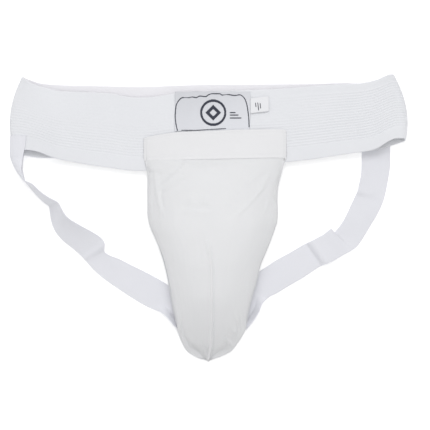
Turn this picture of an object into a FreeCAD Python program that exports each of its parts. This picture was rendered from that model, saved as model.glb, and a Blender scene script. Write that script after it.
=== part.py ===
import FreeCAD, Part
import math
import os
from FreeCAD import Placement, Rotation, Vector

# Groin protector: a hard cup in a stitched pouch, hung from an elastic waistband
# with two elastic leg straps. It lies flat on its back. Millimetres, +Z up,
# +X along the waistband, +Y from the crotch tip towards the waist.

OUT_DIR = "parts"

# Elastic waistband
BAND_WIDTH = 75.0
BAND_THICK = 1.8
BAND_BACK_Z = 0.5 * BAND_THICK
BAND_FRONT_Z = 8.9
BAND_TOP = BAND_FRONT_Z + 0.5 * BAND_THICK
BAND_SLIT = 0.2
FRONT_LIFT = 3.4

# Elastic leg straps
STRAP_WIDTH = 30.0
STRAP_THICK = 1.4
STRAP_Z = 0.5 * STRAP_THICK

# Pouch and its frame: origin on the rim plane, leaning with the crotch
POUCH_TURN = -1.75
POUCH_TILT = 2.7
POUCH_ORIGIN = Vector(3.6, 0.0, 8.4)
FABRIC = 1.0
ARCH_POWER = 2.3
SEAM_WIDTH = 2.0
SEAM_THICK = 1.2
SEAM_OFFSET = 1.7
TACK_PITCH = 2.6
LINING_TOP = -0.3
LINING_THICK = 0.5
TAB_THICK = 0.5
TAB_TOP = BAND_TOP + TAB_THICK

# Hem round the pocket mouth
HEM_HALF = 73.5
HEM_RISE = 5.0
HEM_FABRIC = 1.4
HEM_START = 61.5
HEM_LENGTH = 24.5
HEM_CENTRE_X = 6.5

# Hard cup and its edge cushion
CUSHION_THICK = 3.0
CUSHION_PROUD = 1.2
RIM_INSET = 6.0
RIM_THICK = 2.0
CUP_WALL = 2.5
VENT_RADIUS = 2.4

# Woven label and size tag on the front of the band
LABEL_CENTRE = Vector(3.6, 109.7, BAND_TOP)
LABEL_TURN = 2.5
LABEL_SIZE = (76.0, 42.0)
LABEL_THICK = 0.5
LABEL_CORNER = 5.0
PRINT_THICK = 0.2
BORDER_INSET = 2.2
BORDER_WIDTH = 1.0
TAG_SIZE = (18.8, 15.5)
TAG_HINGE = Vector(42.2, 114.8, 11.4)
TAG_HEIGHT = 1.0
TAG_LAYER = 0.3

# Thread
STITCH_LENGTH = 2.6
STITCH_WIDTH = 0.6
STITCH_RISE = 0.35
STITCH_PITCH = 4.2

# Middle line of the band: x, y, z and the plan angle of its width
BAND_ROWS = [
    (BAND_SLIT, 99.5, BAND_BACK_Z, 90.0),
    (140.0, 99.5, BAND_BACK_Z, 90.0),
    (154.0, 100.8, 2.6, 91.5),
    (178.0, 106.0, 3.4, 96.0),
    (190.0, 110.0, 4.8, 99.0),
    (196.2, 111.5, 8.6, 100.0),
    (190.0, 111.5, 12.2, 100.0),
    (178.0, 109.5, BAND_FRONT_Z + FRONT_LIFT, 99.0),
    (163.0, 103.5, 11.6, 97.0),
    (145.0, 100.2, 10.4, 94.0),
    (120.0, 98.0, BAND_FRONT_Z, 92.0),
    (73.0, 94.2, BAND_FRONT_Z, 91.5),
    (30.0, 92.7, BAND_FRONT_Z, 90.5),
    (0.0, 91.2, BAND_FRONT_Z, 90.0),
    (-39.0, 88.4, BAND_FRONT_Z, 89.0),
    (-74.0, 86.6, BAND_FRONT_Z, 88.0),
    (-112.0, 88.8, BAND_FRONT_Z, 87.0),
    (-140.0, 92.0, 9.8, 85.5),
    (-160.0, 96.5, 11.2, 83.0),
    (-178.0, 102.5, BAND_FRONT_Z + FRONT_LIFT, 82.0),
    (-189.5, 106.5, 12.2, 82.0),
    (-195.7, 107.6, 8.6, 82.0),
    (-189.5, 107.0, 4.8, 82.0),
    (-175.0, 103.5, 3.4, 85.0),
    (-158.0, 100.5, 2.5, 88.0),
    (-145.0, 99.5, BAND_BACK_Z, 90.0),
    (-BAND_SLIT, 99.5, BAND_BACK_Z, 90.0),
]

# Middle lines of the straps: x, y, z, plan angle of the width, bank of the width
LEFT_STRAP_ROWS = [
    (-188.0, 86.0, STRAP_Z, 0.0, 0.0),
    (-188.0, 64.0, STRAP_Z, 0.0, 0.0),
    (-191.5, 58.0, 11.0, 5.0, 38.0),
    (-192.5, 50.0, 14.6, 12.0, 66.0),
    (-189.0, 38.0, 15.8, 28.0, 90.0),
    (-174.5, 22.5, 14.6, 44.0, 66.0),
    (-159.0, 7.0, 12.0, 47.0, 48.0),
    (-148.0, -9.0, 7.4, 42.0, 25.0),
    (-137.0, -22.0, STRAP_Z, 42.0, 0.0),
    (-122.0, -36.0, STRAP_Z, 47.0, 0.0),
    (-103.0, -51.5, STRAP_Z, 58.0, 0.0),
    (-79.0, -66.0, STRAP_Z, 61.0, 0.0),
    (-52.0, -81.5, STRAP_Z, 59.0, 0.0),
    (-34.0, -96.0, STRAP_Z, 48.0, 0.0),
    (-20.0, -112.0, STRAP_Z, 40.0, 0.0),
]
RIGHT_STRAP_ROWS = [
    (171.0, 86.0, STRAP_Z, 183.0, 0.0),
    (171.8, 66.0, STRAP_Z, 181.0, 0.0),
    (170.5, 45.0, STRAP_Z, 177.0, 0.0),
    (166.0, 22.0, STRAP_Z, 170.0, 0.0),
    (157.5, 2.0, STRAP_Z, 162.0, 0.0),
    (146.0, -17.0, STRAP_Z, 148.0, 0.0),
    (133.0, -28.5, STRAP_Z, 130.0, 0.0),
    (106.0, -43.0, STRAP_Z, 121.0, 0.0),
    (79.0, -58.0, STRAP_Z, 120.0, 0.0),
    (56.0, -72.0, STRAP_Z, 125.0, 0.0),
    (40.0, -88.0, STRAP_Z, 137.0, 0.0),
    (21.0, -114.0, STRAP_Z, 147.0, 0.0),
]

# Pouch front over the cup: y along the pouch, half width, height
POUCH_ROWS = [
    (58.0, 71.0, 6.0),
    (55.0, 70.5, 13.0),
    (50.0, 69.5, 19.0),
    (40.0, 67.5, 25.5),
    (25.0, 66.5, 33.0),
    (0.0, 66.5, 42.0),
    (-12.0, 63.5, 46.0),
    (-25.0, 59.0, 49.5),
    (-50.0, 50.5, 53.0),
    (-75.0, 44.5, 52.0),
    (-100.0, 38.5, 44.0),
    (-115.0, 36.0, 36.0),
    (-128.0, 29.5, 25.0),
    (-138.0, 22.0, 15.0),
    (-144.0, 12.0, 7.0),
    (-147.0, 4.0, 2.5),
]

# Hard cup above its cushion: y along the pouch, half width, height
CUP_ROWS = [
    (54.0, 18.0, 4.5),
    (51.0, 31.0, 8.0),
    (46.0, 43.0, 12.0),
    (36.0, 53.0, 18.5),
    (20.0, 59.5, 27.0),
    (0.0, 61.0, 35.0),
    (-25.0, 54.5, 42.5),
    (-50.0, 46.0, 46.0),
    (-75.0, 39.5, 45.0),
    (-100.0, 33.0, 36.5),
    (-115.0, 27.0, 27.0),
    (-125.0, 20.0, 18.0),
    (-131.0, 12.0, 10.0),
    (-133.0, 7.0, 5.0),
]

POUCH_PLACE = Placement(
    POUCH_ORIGIN,
    Rotation(Vector(0, 0, 1), POUCH_TURN).multiply(Rotation(Vector(1, 0, 0), POUCH_TILT)),
)
HEM_PLACE = Placement(Vector(HEM_CENTRE_X, HEM_START, TAB_TOP), Rotation())
LABEL_PLACE = Placement(LABEL_CENTRE, Rotation(Vector(0, 0, 1), LABEL_TURN))


# ---- shared helpers -------------------------------------------------------

def slopes(keys, values):
    """Slopes of a curve through the values that never overshoots them."""
    steps = [(values[i + 1] - values[i]) / (keys[i + 1] - keys[i]) for i in range(len(keys) - 1)]
    inner = []
    for before, after in zip(steps, steps[1:]):
        same_way = before * after > 0
        inner.append(2 * before * after / (before + after) if same_way else 0.0)
    return [steps[0]] + inner + [steps[-1]]


def glide(keys, values, key):
    """Value at one key on that curve."""
    tangents = slopes(keys, values)
    last = len(keys) - 2
    i = 0
    while i < last and (key - keys[i + 1]) * (keys[-1] - keys[0]) > 0:
        i += 1
    span = keys[i + 1] - keys[i]
    t = (key - keys[i]) / span
    ahead = t * t * (3 - 2 * t)
    lift = values[i] + (values[i + 1] - values[i]) * ahead
    lift += span * tangents[i] * t * (1 - t) ** 2
    return lift - span * tangents[i + 1] * t * t * (1 - t)


def fill_rows(rows, steps):
    """Rows with evenly spaced ones added between them, along the line's own length."""
    keys = [0.0]
    for a, b in zip(rows, rows[1:]):
        keys.append(keys[-1] + math.dist(a[:3], b[:3]))
    columns = list(zip(*rows))
    filled = []
    for i in range(len(rows) - 1):
        for step in range(steps):
            key = keys[i] + (keys[i + 1] - keys[i]) * step / steps
            filled.append([glide(keys, column, key) for column in columns])
    filled.append(list(rows[-1]))
    return filled


def width_direction(row):
    plan = math.radians(row[3])
    bank = math.radians(row[4]) if len(row) > 4 else 0.0
    flat = math.cos(bank)
    return Vector(flat * math.cos(plan), flat * math.sin(plan), math.sin(bank))


def ribbon(rows, width, thick, steps):
    """A flat strip of elastic that follows the rows."""
    filled = fill_rows(rows, steps)
    sections = []
    for i, row in enumerate(filled):
        ahead = Vector(*filled[min(i + 1, len(filled) - 1)][:3])
        behind = Vector(*filled[max(i - 1, 0)][:3])
        across = width_direction(row)
        up = (ahead - behind).cross(across).normalize() * (0.5 * thick)
        side = across * (0.5 * width)
        centre = Vector(*row[:3])
        corners = [centre - side - up, centre + side - up, centre + side + up, centre - side + up]
        sections.append(Part.makePolygon(corners + corners[:1]))
    return Part.makeLoft(sections, True, True)


def arch_point(half, rise, angle):
    power = 2.0 / ARCH_POWER
    x = math.copysign(half * abs(math.cos(angle)) ** power, math.cos(angle))
    return x, rise * abs(math.sin(angle)) ** power


def arch_wire(y, half, rise, base):
    """Closed D section across the pouch: a rounded arch on a flat base."""
    count = 14
    points = []
    for i in range(count + 1):
        x, z = arch_point(half, rise, math.pi * i / count)
        points.append(Vector(x, y, base + z))
    curve = Part.BSplineCurve()
    curve.interpolate(points)
    return Part.Wire([curve.toShape(), Part.makeLine(points[-1], points[0])])


def dome(rows, grow, base):
    """Solid dome through the rows, grown outward (or, if negative, drawn in)."""
    middle = 0.5 * (rows[0][0] + rows[-1][0])
    reach = 0.5 * abs(rows[0][0] - rows[-1][0])
    stretch = (reach + grow) / reach
    wires = []
    for y, half, rise in rows:
        wires.append(arch_wire(middle + (y - middle) * stretch, half + grow, rise + grow, base))
    return Part.makeLoft(wires, True, False)


def outline_face(rows, grow):
    """Flat face with the plan outline of a dome."""
    middle = 0.5 * (rows[0][0] + rows[-1][0])
    reach = 0.5 * abs(rows[0][0] - rows[-1][0])
    stretch = (reach + grow) / reach
    right = [Vector(half + grow, middle + (y - middle) * stretch, 0) for y, half, _ in rows]
    left = [Vector(-p.x, p.y, 0) for p in reversed(right)]
    right_curve = Part.BSplineCurve()
    right_curve.interpolate(right)
    left_curve = Part.BSplineCurve()
    left_curve.interpolate(left)
    edges = [
        right_curve.toShape(),
        Part.makeLine(right[-1], left[0]),
        left_curve.toShape(),
        Part.makeLine(left[-1], right[0]),
    ]
    return Part.Face(Part.Wire(edges))


def plate(face, low, thick):
    return face.translated(Vector(0, 0, low)).extrude(Vector(0, 0, thick))


def block(low, high):
    size = [high[i] - low[i] for i in range(3)]
    return Part.makeBox(size[0], size[1], size[2], Vector(*low))


def rounded_plate(length, width, corner, low, thick):
    """Plate centred on the origin with round corners."""
    body = block((-length / 2, -width / 2, low), (length / 2, width / 2, low + thick))
    corners = [e for e in body.Edges if abs(e.tangentAt(e.FirstParameter).z) > 0.99]
    return body.makeFillet(corner, corners)


def stitch_row(start, end, height, pitch=STITCH_PITCH):
    """Separate flat stitches from one point to another."""
    run = end - start
    count = max(1, int(run.Length / pitch))
    turn = math.degrees(math.atan2(run.y, run.x))
    stitches = []
    for i in range(count):
        stitch = block(
            (-STITCH_LENGTH / 2, -STITCH_WIDTH / 2, 0), (STITCH_LENGTH / 2, STITCH_WIDTH / 2, height)
        )
        spot = start + run * ((i + 0.5) / count)
        stitch.Placement = Placement(spot, Rotation(Vector(0, 0, 1), turn))
        stitches.append(stitch)
    return stitches


def solids_of(shape):
    """The solids alone, so that a boolean's wrapper is not written."""
    return shape.Solids[0] if len(shape.Solids) == 1 else Part.makeCompound(shape.Solids)


# ---- elastic --------------------------------------------------------------

def waistband():
    return ribbon(BAND_ROWS, BAND_WIDTH, BAND_THICK, 3)


def band_joint_tape():
    tape = rounded_plate(20.0, 71.0, 1.0, BAND_THICK, 0.5)
    return tape.translated(Vector(0, BAND_ROWS[0][1], 0))


def band_joint_stitching():
    """Zigzag rows that close the band's two ends over the tape."""
    stitches = []
    for side in (-6.0, 6.0):
        for step in range(14):
            low = 67.5 + 4.6 * step
            lean = 1.4 if step % 2 else -1.4
            start = Vector(side - lean, low, BAND_THICK + 0.5)
            end = Vector(side + lean, low + 3.6, BAND_THICK + 0.5)
            stitches += stitch_row(start, end, 0.25, pitch=10.0)
    return Part.makeCompound(stitches)


def leg_strap(rows):
    return ribbon(rows, STRAP_WIDTH, STRAP_THICK, 4)


def back_layer_top(x):
    """Height of the band's inner face on the lying layer, at one x."""
    rows = [row for row in BAND_ROWS if row[0] * x > 0 and row[2] < 6.0]
    rows.sort(key=lambda row: row[0])
    return glide([row[0] for row in rows], [row[2] for row in rows], x) + 0.5 * BAND_THICK


def strap_tack(centre_x, centre_y):
    """Bar tack through band and strap: a close zigzag across the strap's width."""
    bars = []
    for row in range(2):
        for step in range(8):
            x = centre_x + TACK_PITCH * (step - 3.5)
            y = centre_y + 9.0 * (row - 0.5)
            low = back_layer_top(x) + 0.5
            bars.append(block((x - 1.0, y - 1.6, low), (x + 1.0, y + 1.6, low + 0.4)))
    return Part.makeCompound(bars)


def lower_tack(row):
    """Bar tack between the strap's lower end and the pouch lining."""
    bars = []
    across = width_direction(row)
    for step in range(7):
        spot = Vector(row[0], row[1], STRAP_THICK) + across * (3.6 * (step - 3))
        bar = block((-0.9, -2.0, 0.0), (0.9, 2.0, 0.25))
        bar.Placement = Placement(spot, Rotation(Vector(0, 0, 1), row[3]))
        bars.append(bar)
    return Part.makeCompound(bars)


# ---- pouch ----------------------------------------------------------------

def pouch_layer(inner, outer):
    """Shell between two offsets of the pouch's outer face."""
    shell = dome(POUCH_ROWS, outer, 0.0).cut(dome(POUCH_ROWS, inner, 0.0))
    floor = block((-90, -170, -1), (90, 90, 0))
    mouth = block((-90, POUCH_ROWS[0][0], -1), (90, 90, 60))
    return shell.cut(floor).cut(mouth)


def pouch_front():
    hollow = dome(POUCH_ROWS, -FABRIC, -0.01)
    mouth_row = POUCH_ROWS[0]
    mouth = arch_wire(mouth_row[0] - 4.0, mouth_row[1] - 2.5, 8.0, -0.01)
    mouth_end = arch_wire(mouth_row[0] + 1.0, mouth_row[1] - 2.5, 4.6, -0.01)
    opening = Part.makeLoft([mouth, mouth_end], True, True)
    shell = dome(POUCH_ROWS, 0.0, 0.0).cut(hollow).cut(opening)
    return solids_of(shell)


def pouch_dart_seam():
    """Raised seam down the middle of the lower half, ending at the tip."""
    strip = block((-1.6, -139.0, 3.0), (1.6, -24.0, 70.0))
    return solids_of(pouch_layer(0.05, 0.85).common(strip))


def pouch_side_seam(side):
    """Bound seam along one side edge of the pouch."""
    rows = []
    for y, half, _ in POUCH_ROWS[1:-2]:
        rows.append((side * (half + SEAM_OFFSET), y, 0.5 * SEAM_THICK, 0.0))
    return ribbon(rows, SEAM_WIDTH, SEAM_THICK, 2)


def pouch_back_panel():
    """Lining behind the cup, with a tab sewn flat on the band."""
    panel = plate(outline_face(POUCH_ROWS, 2.0), LINING_TOP - LINING_THICK, LINING_THICK)
    panel.Placement = POUCH_PLACE
    trim = block((-120, 56.0, -10), (120, 90, 40))
    tab = block((-HEM_HALF - 1, 50.0, BAND_TOP), (HEM_HALF + 1, HEM_START + HEM_LENGTH, TAB_TOP))
    tab.translate(Vector(HEM_CENTRE_X, 0, 0))
    return solids_of(panel.cut(trim).fuse(tab).removeSplitter())


def hem_layer(inner, outer):
    """Arched sleeve round the pocket mouth, between two offsets."""
    outside = Part.Face(arch_wire(0, HEM_HALF + outer, HEM_RISE + outer, 0))
    inside = Part.Face(arch_wire(0, HEM_HALF + inner, HEM_RISE + inner, -0.01))
    along = Vector(0, HEM_LENGTH, 0)
    return outside.extrude(along).cut(inside.extrude(along))


def pouch_hem_band():
    hem = hem_layer(-HEM_FABRIC, 0.0)
    hem.Placement = HEM_PLACE
    return solids_of(hem)


def hem_stitching():
    """Two rows of thread, near the hem's lower and upper edges."""
    rows = []
    for y in (2.0, HEM_LENGTH - 3.0):
        for box in stitch_row(Vector(-64, y, 0), Vector(64, y, 0), 20.0):
            rows.append(box)
    stitches = hem_layer(0.03, STITCH_RISE).common(Part.makeCompound(rows))
    stitches.Placement = HEM_PLACE
    return Part.makeCompound(stitches.Solids)


def pouch_to_band_stitching():
    """Stitches down both sides of the lining's tab."""
    stitches = []
    for side in (-1, 1):
        x = HEM_CENTRE_X + side * (HEM_HALF + 0.5)
        start = Vector(x, 57.0, TAB_TOP)
        stitches += stitch_row(start, Vector(x, 85.0, TAB_TOP), STITCH_RISE)
    return Part.makeCompound(stitches)


# ---- cup ------------------------------------------------------------------

def vent_holes():
    """Breathing holes through the front of the cup, in a fan of rows."""
    holes = []
    for y, spread in ((-58.0, 2), (-40.0, 3), (-22.0, 4), (-4.0, 3)):
        for i in range(spread):
            x = 13.0 * (i - 0.5 * (spread - 1))
            holes.append(Part.makeCylinder(VENT_RADIUS, 90.0, Vector(x, y, 0)))
    return Part.makeCompound(holes)


def cup_shell():
    outside = dome(CUP_ROWS, 0.0, CUSHION_THICK)
    hollow = dome(CUP_ROWS, -CUP_WALL, CUSHION_THICK)
    hollow = hollow.cut(block((-90, -160, 0), (90, 90, CUSHION_THICK + RIM_THICK)))
    window = plate(outline_face(CUP_ROWS, -RIM_INSET), CUSHION_THICK - 1.0, RIM_THICK + 2.0)
    shell = outside.cut(hollow).cut(window).cut(vent_holes())
    shell.Placement = POUCH_PLACE
    return solids_of(shell)


def cup_cushion():
    """Soft ring under the rim of the cup."""
    ring = plate(outline_face(CUP_ROWS, CUSHION_PROUD), 0.0, CUSHION_THICK)
    ring = ring.cut(plate(outline_face(CUP_ROWS, -RIM_INSET), -1.0, CUSHION_THICK + 2.0))
    ring.Placement = POUCH_PLACE
    return solids_of(ring)


# ---- label and tag --------------------------------------------------------

def front_label():
    label = rounded_plate(LABEL_SIZE[0], LABEL_SIZE[1], LABEL_CORNER, 0.0, LABEL_THICK)
    label.Placement = LABEL_PLACE
    return label


def label_border():
    """Thin woven line just inside the label's edge."""
    frames = []
    for inset in (BORDER_INSET, BORDER_INSET + BORDER_WIDTH):
        length = LABEL_SIZE[0] - 2 * inset
        width = LABEL_SIZE[1] - 2 * inset
        corner = LABEL_CORNER + 2.0 - inset
        frames.append(rounded_plate(length, width, corner, LABEL_THICK, PRINT_THICK))
    border = frames[0].cut(frames[1])
    border.Placement = LABEL_PLACE
    return solids_of(border)


def label_emblem():
    """Plain ring with a diamond inside, and three short bars beside it."""
    up = Vector(0, 0, PRINT_THICK)
    centre = Vector(1.0, -2.0, LABEL_THICK)
    ring = Part.makeCylinder(12.0, PRINT_THICK, centre)
    ring = ring.cut(Part.makeCylinder(10.0, PRINT_THICK, centre))
    points = [centre + Vector(5.5, 0, 0), centre + Vector(0, 7.5, 0)]
    points += [centre - Vector(5.5, 0, 0), centre - Vector(0, 7.5, 0)]
    diamond = Part.Face(Part.makePolygon(points + points[:1])).extrude(up)
    shapes = [ring, diamond]
    for i, length in enumerate((13.0, 9.0, 11.0)):
        low = (16.5, -8.0 + 3.4 * i, LABEL_THICK)
        shapes.append(block(low, (16.5 + length, low[1] + 1.5, LABEL_THICK + PRINT_THICK)))
    emblem = Part.makeCompound([s for shape in shapes for s in shape.Solids])
    emblem.Placement = LABEL_PLACE
    return emblem


def size_tag():
    """Folded satin loop, sewn by its open end to the label's edge."""
    length, width = TAG_SIZE
    low = TAG_HINGE + Vector(0.2, -width / 2, -TAG_HEIGHT / 2)
    loop = Part.makeBox(length, width, TAG_HEIGHT, low)
    gap = Part.makeBox(
        length - 1.6, width, TAG_HEIGHT - 2 * TAG_LAYER, low + Vector(0.6, 0, TAG_LAYER)
    )
    return loop.cut(gap)


def size_mark():
    """Three generic bars printed on the tag."""
    top = TAG_HINGE.z + TAG_HEIGHT / 2
    bars = []
    for i, length in enumerate((7.0, 5.0, 7.0)):
        x = TAG_HINGE.x + 5.0 + 3.0 * i
        y = TAG_HINGE.y - length / 2
        bars.append(block((x, y, top), (x + 1.4, y + length, top + 0.1)))
    return Part.makeCompound(bars)


# ---- the assembly ---------------------------------------------------------

def in_pouch_frame(shape):
    shape.Placement = POUCH_PLACE
    return shape


def build():
    return {
        "waistband": waistband(),
        "waistband_joint_tape": band_joint_tape(),
        "waistband_joint_stitching": band_joint_stitching(),
        "front_label": front_label(),
        "label_border": label_border(),
        "label_emblem": label_emblem(),
        "size_tag": size_tag(),
        "size_mark": size_mark(),
        "pouch_back_panel": pouch_back_panel(),
        "pouch_front": in_pouch_frame(pouch_front()),
        "pouch_dart_seam": in_pouch_frame(pouch_dart_seam()),
        "pouch_side_seam_left": in_pouch_frame(pouch_side_seam(-1)),
        "pouch_side_seam_right": in_pouch_frame(pouch_side_seam(1)),
        "pouch_hem_band": pouch_hem_band(),
        "hem_stitching": hem_stitching(),
        "pouch_to_band_stitching": pouch_to_band_stitching(),
        "cup_shell": cup_shell(),
        "cup_cushion": cup_cushion(),
        "leg_strap_left": leg_strap(LEFT_STRAP_ROWS),
        "leg_strap_right": leg_strap(RIGHT_STRAP_ROWS),
        "strap_tack_upper_left": strap_tack(-183.0, 82.0),
        "strap_tack_upper_right": strap_tack(171.0, 78.0),
        "strap_tack_lower_left": lower_tack(LEFT_STRAP_ROWS[-1]),
        "strap_tack_lower_right": lower_tack(RIGHT_STRAP_ROWS[-1]),
    }


os.makedirs(OUT_DIR, exist_ok=True)
for name, shape in build().items():
    box = shape.BoundBox
    print(name, "valid" if shape.isValid() else "INVALID", len(shape.Solids), "solids",
          [round(v, 1) for v in (box.XMin, box.XMax, box.YMin, box.YMax, box.ZMin, box.ZMax)],
          round(shape.Volume / 1000, 2), "cm3")
    shape.exportStep(os.path.join(OUT_DIR, name + ".step"))
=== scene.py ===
import math
import bpy
import numpy as np
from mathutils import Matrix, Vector


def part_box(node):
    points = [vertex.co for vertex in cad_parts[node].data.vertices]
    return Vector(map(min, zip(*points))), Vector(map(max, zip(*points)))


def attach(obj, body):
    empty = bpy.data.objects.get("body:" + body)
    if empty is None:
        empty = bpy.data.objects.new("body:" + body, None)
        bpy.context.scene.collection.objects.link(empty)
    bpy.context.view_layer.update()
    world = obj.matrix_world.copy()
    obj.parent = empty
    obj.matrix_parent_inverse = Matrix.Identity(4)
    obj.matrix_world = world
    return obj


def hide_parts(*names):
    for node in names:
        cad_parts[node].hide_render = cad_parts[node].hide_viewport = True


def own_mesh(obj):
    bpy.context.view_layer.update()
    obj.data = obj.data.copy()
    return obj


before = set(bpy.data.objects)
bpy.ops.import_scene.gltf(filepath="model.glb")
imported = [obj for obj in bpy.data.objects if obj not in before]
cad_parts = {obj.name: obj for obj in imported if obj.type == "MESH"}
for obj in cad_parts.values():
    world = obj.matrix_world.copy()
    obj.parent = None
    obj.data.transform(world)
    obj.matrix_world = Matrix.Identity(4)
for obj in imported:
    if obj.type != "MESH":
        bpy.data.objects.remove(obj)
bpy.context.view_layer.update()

# All lengths below are in millimetres; meshes are made in metres.
MM = 0.001

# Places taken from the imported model
BAND_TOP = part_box("front_label")[0][2] / MM
TAG_LOW, TAG_HIGH = (np.array(corner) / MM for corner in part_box("size_tag"))

# Waistband: one closed loop lying as a back layer and a front layer
BAND_WIDTH = 75.0
BAND_THICK = 1.6
BAND_SPACING = 2.2
BACK_Z = 0.9
FRONT_Z = 8.9
RIB_PITCH = 2.9
RIB_DEPTH = 0.5
RIB_WIDTH = 0.48
RIB_START = 15.0
RIB_END = 66.0
POINTS_IN_A_RIB = 6
# Across the band from here up, the loop's inner face is painted lighter: painted light
PAINTED_LIGHT_FROM = 52.0

STRAP_WIDTH = 30.0
STRAP_THICK = 1.2
STRAP_SPACING = 1.0
SELVEDGE = 1.9
SELVEDGE_DEPTH = 0.14
STRAP_LIE = 0.9
LOWEST_MIDDLE = 0.75

# The pocket's base plane rises towards the waist
BASE_Z = 8.4
BASE_SLOPE = 0.0472
LOWEST_BASE = 1.2
ARCH_POWER = 2.3
POUCH_FABRIC = 1.0
POUCH_FINE_ROWS = 200
POUCH_FINE_COLUMNS = 225
DEEPEST_CREASE = -0.9
LINING_WIDTH = 146.0

# Cloth simulation of the pouch, at ten times the real size
DRAPE_SCALE = 10.0 * MM
DRAPE_FRAMES = 24
DRAPE_CAP = 6.0
DRAPE_INSET = 1.2
WALL_START = 0.12
WALL_END = 0.62
KNIT_SETTINGS = {
    "quality": 6, "mass": 0.25, "air_damping": 3.0, "vertex_group_mass": "held",
    "tension_stiffness": 25.0, "compression_stiffness": 20.0, "shear_stiffness": 10.0,
    "bending_stiffness": 1.5, "tension_damping": 10.0, "compression_damping": 10.0,
    "shrink_min": 0.01, "shrink_max": 0.01,
}

# Middle seam of the pouch: its ridge stands left of the line and its stitches right of it
DART_TOP = -25.0
RIDGE_SIDE = 1.3
RIDGE_RADIUS = 1.3
GROOVE_SIDE = 1.2

# Overlocked side seams of the pouch
ALLOWANCE = 3.0
OVERLOCK_PITCH = 2.3

# Hem round the pocket's mouth
HEM_WIDTH = 28.0
HEM_POWER = 2.6
HEM_REST_Z = 11.1
HEM_TOP_RISE = 1.3
HEM_SEAMS = (3.2, 25.0)
HEM_STITCH_PITCH = 3.1
HEM_ANGLES = np.linspace(0.0, math.pi, 181)

# Label and its emblem
LABEL_LEFT = -35.2
LABEL_RIGHT = 41.9
LABEL_HEIGHT = 41.0
LABEL_RISE = 0.42
LABEL_HALF = 0.2
EMBLEM_BOX = (-10.0, 34.0, 93.0, 121.4)
EMBLEM_CENTRE = (4.4, 107.2)
EMBLEM_PITCH = 0.5
SAMPLE_STEP = 0.25
BAR_LOW = 101.4
BAR_PITCH = 2.7

# Size tag, hinged at its sewn edge
TAG_LENGTH = TAG_HIGH[0] - TAG_LOW[0]
TAG_WIDTH = TAG_HIGH[1] - TAG_LOW[1]
TAG_PUFF = 0.42

THREAD_RADIUS = 0.22
END_TAPER = 0.45


def upright(x, low, high, z):
    """Straight row of the waistband."""
    return x, low, z, x, high, z


def lying(outer_x, outer_y, inner_x, inner_y):
    """Flat row of a strap."""
    return outer_x, outer_y, STRAP_LIE, inner_x, inner_y, STRAP_LIE


# Waistband, right round the loop: lower edge x, y, z; upper edge x, y, z; any bulge x, z
BAND_ROWS = [
    upright(0, 62, 137, BACK_Z), upright(60, 62, 137.2, BACK_Z),
    upright(104, 63.2, 137.6, BACK_Z), upright(138, 66.2, 138.6, BACK_Z),
    (157, 67, 2.6, 154, 138, 2.4), (172, 69.4, 3, 166, 138.8, 3, 0.5, 0),
    (186, 73.4, 3.4, 178, 141.4, 3.8, 2, 0), (195.5, 76.4, 4.6, 185.5, 144, 5.2, 4, 0),
    (200.8, 78.8, 8.6, 188.9, 145.4, 8.4, 6.5, 0), (198.6, 80.6, 14.2, 187.8, 146.4, 11.6, 5, 0),
    (191, 80.6, 16.6, 184.6, 146.2, 12.2, 3, 0), (181.5, 76.8, 16.4, 179.5, 144.2, 12.4, 1.5, 0),
    (172.5, 71, 14.4, 172, 141, 12, 0, 0.6), (163, 68, 12.4, 163, 138.6, 11.4, 0, 0.5),
    (150, 66.2, 11, 150, 136.8, 10.6), (131, 63.5, 9.6, 131, 136, 9.6),
    upright(104, 59.4, 134.3, FRONT_Z), upright(73, 56.2, 131.8, FRONT_Z),
    upright(41, 54.5, 130.3, FRONT_Z), upright(1, 53.5, 129.3, FRONT_Z),
    upright(-39, 50.5, 126.2, FRONT_Z), upright(-60.8, 48, 123.1, FRONT_Z),
    upright(-74, 47.8, 122.6, FRONT_Z), upright(-86.5, 48.7, 124.1, FRONT_Z),
    upright(-102, 51, 127.2, FRONT_Z), (-122.6, 53.8, FRONT_Z, -122.6, 128.2, FRONT_Z, 0, 0.3),
    (-142, 57.5, 9.6, -142, 128.6, 9.6, 0, 0.8), (-153.5, 59.4, 10.4, -153.5, 129.4, 10.6, 0, 1.2),
    (-163, 62.5, 11.2, -168.9, 133.4, 11.6, 0, 1), (-172, 66.2, 12.2, -178.6, 136, 12.6, -1, 0.4),
    (-181, 68.4, 12.6, -185.4, 139.6, 12.8, -3, 0), (-191, 69.2, 12.2, -188.8, 142.6, 11.8, -6, 0),
    (-199.5, 69.5, 8.6, -190.4, 144, 8.4, -7.5, 0), (-194, 66.4, 4.8, -188.4, 143, 4.8, -5, 0),
    (-186, 63, 3.2, -182, 140.8, 3.2, -2, 0), (-172, 61.2, 2.8, -172, 137.8, 2.6),
    (-157, 61, 2.4, -157, 136.6, 1.8), upright(-140, 61.5, 136, BACK_Z),
    upright(-112, 62, 135.4, BACK_Z), upright(-71, 62, 134.6, BACK_Z),
    upright(-30, 62, 136, BACK_Z), upright(0, 62, 137, BACK_Z),
]

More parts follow.
